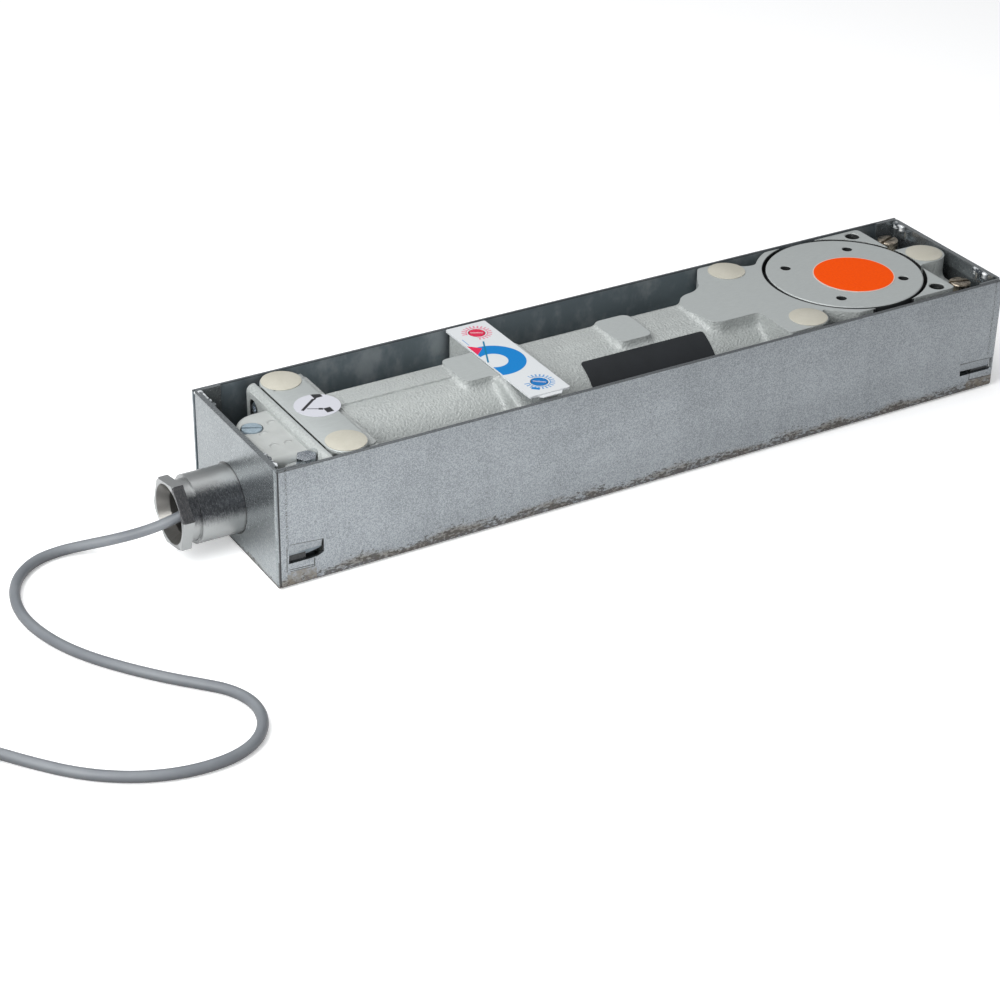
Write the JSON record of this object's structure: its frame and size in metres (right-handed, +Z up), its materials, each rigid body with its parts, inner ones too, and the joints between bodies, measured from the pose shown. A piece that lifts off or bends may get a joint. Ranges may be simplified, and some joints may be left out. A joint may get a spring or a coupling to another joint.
{
  "type": "floor spring door closer",
  "caption": "Floor spring door closer in a folded steel cement box: spindle and heart cam, spring piston, damping piston, electric hold-open and connecting cord.",
  "frame": {"origin": "underside of the cement box, straight below the axis of the spindle", "axes": "+X along the box towards its spindle end, +Y across the box, +Z up along the spindle"},
  "size_m": [0.6227, 0.1906, 0.058],
  "materials": {
    "galvanised_steel": "zinc-coated sheet, faint spangle",
    "cast_alloy": "casting with a satin silver-grey coat, machined top faces",
    "hardened_steel": "ground",
    "zinc_steel": "bright zinc plate",
    "bronzed_steel": "yellow passivated, rough head",
    "nickel_brass": "nickel plated",
    "copper_winding": "enamelled wire",
    "cream_pad": "thin self-adhesive pad",
    "orange_print": "printed film",
    "white_print": "printed plate",
    "label_black": "dark film, bare",
    "lilac_print": "printed film",
    "red_screw": "lacquered head",
    "blue_screw": "lacquered head",
    "cover_plastic": "moulded",
    "seal_rubber": "smooth",
    "cord_grey": "soft matt sheath",
    "core_copper": "stripped stranded ends"
  },
  "bodies": {
    "box": {"box_channel": "galvanised_steel", "box_pillars": "galvanised_steel", "bridge_plate": "cast_alloy", "closer_housing": "cast_alloy", "coil_bobbin": "cover_plastic", "coil_winding": "copper_winding", "cord_coil": "cord_grey", "cord_cores": "core_copper", "cord_tail": "cord_grey", "cord_tube": "cord_grey", "cover_disc": "cast_alloy", "cover_pads": "cream_pad", "cover_screw": "zinc_steel", "cylinder_end_cap": "zinc_steel", "disc_ring": "seal_rubber", "end_cap_seal": "seal_rubber", "fixing_screws": "bronzed_steel", "fixing_washers": "zinc_steel", "foot_screw": "zinc_steel", "gland_end_plate": "galvanised_steel", "gland_locknut": "nickel_brass", "gland_nut": "nickel_brass", "gland_seal": "seal_rubber", "gland_sleeve": "nickel_brass", "hold_open_housing": "cast_alloy", "inner_lead": "cord_grey", "instruction_plate": "white_print", "levelling_screws": "zinc_steel", "lower_bearing": "hardened_steel", "main_spring": "hardened_steel", "pictogram_sticker": "lilac_print", "pole_core": "hardened_steel", "seat_circlip": "hardened_steel", "spindle_end_plate": "galvanised_steel", "spindle_lip_seal": "seal_rubber", "spindle_seal_sticker": "orange_print", "spring_seat_ring": "hardened_steel", "terminal_block": "cover_plastic", "terminal_cover": "cover_plastic", "terminal_screws": "zinc_steel", "type_label": "label_black", "unit_bolts": "zinc_steel", "upper_bearing": "hardened_steel"},
    "spindle": {"cam_shaft": "hardened_steel"},
    "drive": {"roller_carriage": "hardened_steel", "carriage_seal": "seal_rubber", "roller_pin": "hardened_steel", "piston_rod": "hardened_steel", "damping_piston": "hardened_steel", "damper_seal": "seal_rubber", "check_ball": "hardened_steel"},
    "roller": {"cam_roller": "hardened_steel"},
    "closing_valve": {"closing_speed_valve": "red_screw", "closing_valve_ring": "seal_rubber"},
    "latching_valve": {"latching_speed_valve": "blue_screw", "latching_valve_ring": "seal_rubber"},
    "armature": {"valve_armature": "hardened_steel"}
  },
  "joints": [
    {"name": "spindle_turn", "type": "hinge", "parent": "box", "child": "spindle", "pos_m": [0, 0, 0.0295], "axis": [0, 0, 1], "range_deg": [0, 175], "stiffness_Nm_per_rad": 4},
    {"name": "carriage_slide", "type": "slide", "parent": "box", "child": "drive", "axis": [-1, 0, 0], "range_m": [0, 0.0165], "deforming": ["main_spring"]},
    {"name": "roller_spin", "type": "hinge", "parent": "drive", "child": "roller", "pos_m": [-0.017, 0, 0.0295], "axis": [0, 0, 1], "continuous": true},
    {"name": "closing_valve_turn", "type": "hinge", "parent": "box", "child": "closing_valve", "pos_m": [-0.1915, 0.029, 0.045], "axis": [0, 0, 1], "range_deg": [-180, 180]},
    {"name": "latching_valve_turn", "type": "hinge", "parent": "box", "child": "latching_valve", "pos_m": [-0.1915, -0.0268, 0.045], "axis": [0, 0, 1], "range_deg": [-180, 180]},
    {"name": "armature_slide", "type": "slide", "parent": "box", "child": "armature", "axis": [-1, 0, 0], "range_m": [0, 0.0012], "stiffness_N_per_m": 1500}
  ],
  "couplings": [
    {"joint": "carriage_slide", "follows": "spindle_turn", "m_per_rad": 0.0045837}
  ]
}
